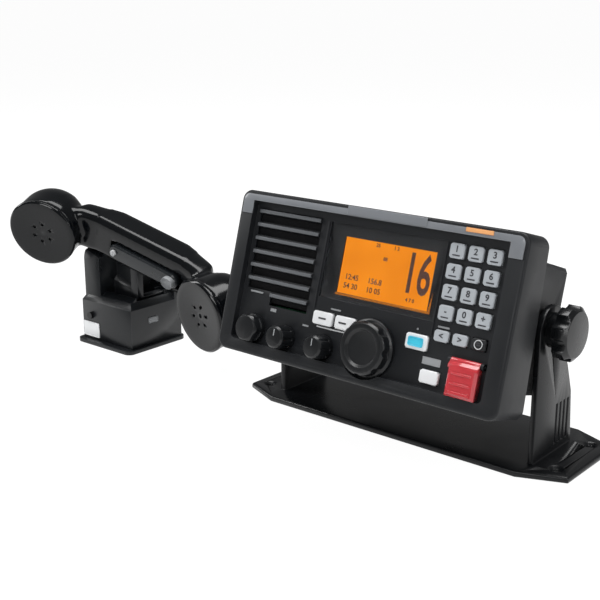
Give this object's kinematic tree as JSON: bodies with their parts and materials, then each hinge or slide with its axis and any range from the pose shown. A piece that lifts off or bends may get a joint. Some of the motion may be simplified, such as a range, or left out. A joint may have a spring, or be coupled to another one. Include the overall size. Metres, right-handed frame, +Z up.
{
  "type": "marine radio",
  "caption": "Fixed-mount marine radio tilting in a screw-down bracket, with a telephone handset resting on a separate cradle.",
  "frame": {"origin": "middle of the bracket's base plate, on the underside that meets the shelf", "axes": "+X along the bracket to the radio's right, +Y towards the back, +Z up"},
  "size_m": [0.5003, 0.1379, 0.1573],
  "materials": {
    "front_case": "fine moulded texture",
    "silver_trim": "satin silver",
    "display_window": "clear over a dark border",
    "display": "lit screen",
    "circuit_board": "solder mask",
    "speaker_cone": "pressed paper",
    "seal_rubber": "soft",
    "chassis_metal": "black powder coat",
    "screw_steel": "zinc plated",
    "connector_metal": "nickel plated",
    "gland_rubber": "matt",
    "knob_plastic": "fine moulded texture",
    "control_metal": "plated",
    "key_rubber": "pale grey silicone",
    "white_key": "white",
    "cyan_key": "translucent blue-green",
    "cover_red": "translucent red",
    "bracket_metal": "satin black coat",
    "grip_plastic": "fine moulded texture",
    "cradle_plastic": "fine moulded texture",
    "handset_plastic": "satin moulded",
    "talk_bar_plastic": "satin"
  },
  "bodies": {
    "mounting": {"bracket": "bracket_metal", "cradle_base_plate": "cradle_plastic", "cradle_body": "cradle_plastic", "cradle_screws": "screw_steel", "hook_switch": "grip_plastic"},
    "radio": {"front_bezel": "front_case", "top_trim": "silver_trim", "display_lens": "display_window", "lcd_panel": "display", "panel_circuit_board": "circuit_board", "loudspeaker": "speaker_cone", "front_seal": "seal_rubber", "chassis": "chassis_metal", "transceiver_board": "circuit_board", "case_screws": "screw_steel", "antenna_socket": "connector_metal", "power_cable_gland": "gland_rubber", "mic_connector": "connector_metal", "rotary_controls": "control_metal", "distress_hinge_pin": "control_metal", "pivot_washers": "seal_rubber"},
    "left_grip": {"left_bracket_knob": "grip_plastic"},
    "right_grip": {"right_bracket_knob": "grip_plastic"},
    "dial": {"channel_dial": "knob_plastic", "dial_shaft": "control_metal"},
    "volume": {"volume_knob": "knob_plastic", "volume_shaft": "control_metal"},
    "squelch": {"squelch_knob": "knob_plastic", "squelch_shaft": "control_metal"},
    "cap": {"mic_connector_cap": "grip_plastic"},
    "cover": {"distress_cover": "cover_red"},
    "handset": {"handset_back_shell": "handset_plastic", "handset_front_shell": "handset_plastic", "earpiece_cap": "handset_plastic", "mouthpiece_cap": "handset_plastic", "voice_capsules": "control_metal", "handset_cord_inlet": "gland_rubber"},
    "talk": {"talk_bar": "talk_bar_plastic"},
    "hook": {"hook_lever": "grip_plastic"},
    "key_1": {"key_1": "key_rubber"},
    "key_2": {"key_2": "key_rubber"},
    "key_3": {"key_3": "key_rubber"},
    "key_4": {"key_4": "key_rubber"},
    "key_5": {"key_5": "key_rubber"},
    "key_6": {"key_6": "key_rubber"},
    "key_7": {"key_7": "key_rubber"},
    "key_8": {"key_8": "key_rubber"},
    "key_9": {"key_9": "key_rubber"},
    "key_10": {"key_10": "key_rubber"},
    "key_11": {"key_11": "key_rubber"},
    "key_12": {"key_12": "key_rubber"},
    "key_13": {"key_13": "key_rubber"},
    "key_14": {"key_14": "key_rubber"},
    "key_15": {"key_15": "key_rubber"},
    "soft_key_left": {"soft_key_left": "white_key"},
    "soft_key_right": {"soft_key_right": "white_key"},
    "call_key": {"call_key": "cyan_key"},
    "scan_key": {"scan_key": "white_key"},
    "distress_key": {"distress_key": "cover_red"}
  },
  "joints": [
    {"name": "radio_tilt", "type": "hinge", "parent": "mounting", "child": "radio", "pos_m": [0, -0.0125, 0.0884], "axis": [1, 0, 0], "range_deg": [-20, 30]},
    {"name": "left_grip_turn", "type": "hinge", "parent": "mounting", "child": "left_grip", "pos_m": [-0.115, -0.0125, 0.0884], "axis": [-1, 0, 0], "continuous": true},
    {"name": "right_grip_turn", "type": "hinge", "parent": "mounting", "child": "right_grip", "pos_m": [0.115, -0.0125, 0.0884], "axis": [1, 0, 0], "continuous": true},
    {"name": "channel_dial_turn", "type": "hinge", "parent": "radio", "child": "dial", "pos_m": [0.0129, -0.08266, 0.07481], "axis": [0, 0.9613, -0.2756], "continuous": true},
    {"name": "volume_turn", "type": "hinge", "parent": "radio", "child": "volume", "pos_m": [-0.0548, -0.08448, 0.06847], "axis": [0, 0.9613, -0.2756], "range_deg": [-150, 150]},
    {"name": "squelch_turn", "type": "hinge", "parent": "radio", "child": "squelch", "pos_m": [-0.0229, -0.08448, 0.06847], "axis": [0, 0.9613, -0.2756], "range_deg": [-150, 150]},
    {"name": "cap_pull", "type": "slide", "parent": "radio", "child": "cap", "axis": [0, -0.9613, 0.2756], "range_m": [0, 0.02]},
    {"name": "cover_lift", "type": "hinge", "parent": "radio", "child": "cover", "pos_m": [0.0837, -0.07873, 0.07982], "axis": [-1, 0, 0], "range_deg": [0, 105]},
    {"name": "handset_lift", "type": "slide", "parent": "mounting", "child": "handset", "axis": [0.323, -0.1887, 0.9274], "range_m": [0, 0.06]},
    {"name": "talk_bar_press", "type": "slide", "parent": "handset", "child": "talk", "axis": [-0.0984, 0.9679, 0.2312], "range_m": [0, 0.002], "stiffness_N_per_m": 900},
    {"name": "hook_lever_rise", "type": "hinge", "parent": "mounting", "child": "hook", "pos_m": [-0.2705, 0.009, 0.04125], "axis": [-1, 0, 0], "range_deg": [0, 6]},
    {"name": "key_1_press", "type": "slide", "parent": "radio", "child": "key_1", "axis": [0, 0.9613, -0.2756], "range_m": [0, 0.0012], "stiffness_N_per_m": 700},
    {"name": "key_2_press", "type": "slide", "parent": "radio", "child": "key_2", "axis": [0, 0.9613, -0.2756], "range_m": [0, 0.0012], "stiffness_N_per_m": 700},
    {"name": "key_3_press", "type": "slide", "parent": "radio", "child": "key_3", "axis": [0, 0.9613, -0.2756], "range_m": [0, 0.0012], "stiffness_N_per_m": 700},
    {"name": "key_4_press", "type": "slide", "parent": "radio", "child": "key_4", "axis": [0, 0.9613, -0.2756], "range_m": [0, 0.0012], "stiffness_N_per_m": 700},
    {"name": "key_5_press", "type": "slide", "parent": "radio", "child": "key_5", "axis": [0, 0.9613, -0.2756], "range_m": [0, 0.0012], "stiffness_N_per_m": 700},
    {"name": "key_6_press", "type": "slide", "parent": "radio", "child": "key_6", "axis": [0, 0.9613, -0.2756], "range_m": [0, 0.0012], "stiffness_N_per_m": 700},
    {"name": "key_7_press", "type": "slide", "parent": "radio", "child": "key_7", "axis": [0, 0.9613, -0.2756], "range_m": [0, 0.0012], "stiffness_N_per_m": 700},
    {"name": "key_8_press", "type": "slide", "parent": "radio", "child": "key_8", "axis": [0, 0.9613, -0.2756], "range_m": [0, 0.0012], "stiffness_N_per_m": 700},
    {"name": "key_9_press", "type": "slide", "parent": "radio", "child": "key_9", "axis": [0, 0.9613, -0.2756], "range_m": [0, 0.0012], "stiffness_N_per_m": 700},
    {"name": "key_10_press", "type": "slide", "parent": "radio", "child": "key_10", "axis": [0, 0.9613, -0.2756], "range_m": [0, 0.0012], "stiffness_N_per_m": 700},
    {"name": "key_11_press", "type": "slide", "parent": "radio", "child": "key_11", "axis": [0, 0.9613, -0.2756], "range_m": [0, 0.0012], "stiffness_N_per_m": 700},
    {"name": "key_12_press", "type": "slide", "parent": "radio", "child": "key_12", "axis": [0, 0.9613, -0.2756], "range_m": [0, 0.0012], "stiffness_N_per_m": 700},
    {"name": "key_13_press", "type": "slide", "parent": "radio", "child": "key_13", "axis": [0, 0.9613, -0.2756], "range_m": [0, 0.0012], "stiffness_N_per_m": 700},
    {"name": "key_14_press", "type": "slide", "parent": "radio", "child": "key_14", "axis": [0, 0.9613, -0.2756], "range_m": [0, 0.0012], "stiffness_N_per_m": 700},
    {"name": "key_15_press", "type": "slide", "parent": "radio", "child": "key_15", "axis": [0, 0.9613, -0.2756], "range_m": [0, 0.0012], "stiffness_N_per_m": 700},
    {"name": "soft_key_left_press", "type": "slide", "parent": "radio", "child": "soft_key_left", "axis": [0, 0.9613, -0.2756], "range_m": [0, 0.0012], "stiffness_N_per_m": 700},
    {"name": "soft_key_right_press", "type": "slide", "parent": "radio", "child": "soft_key_right", "axis": [0, 0.9613, -0.2756], "range_m": [0, 0.0012], "stiffness_N_per_m": 700},
    {"name": "call_key_press", "type": "slide", "parent": "radio", "child": "call_key", "axis": [0, 0.9613, -0.2756], "range_m": [0, 0.0012], "stiffness_N_per_m": 700},
    {"name": "scan_key_press", "type": "slide", "parent": "radio", "child": "scan_key", "axis": [0, 0.9613, -0.2756], "range_m": [0, 0.0012], "stiffness_N_per_m": 700},
    {"name": "distress_key_press", "type": "slide", "parent": "radio", "child": "distress_key", "axis": [0, 0.9613, -0.2756], "range_m": [0, 0.0012], "stiffness_N_per_m": 700}
  ],
  "couplings": [
    {"joint": "hook_lever_rise", "follows": "handset_lift", "rad_per_m": 1.7162}
  ]
}
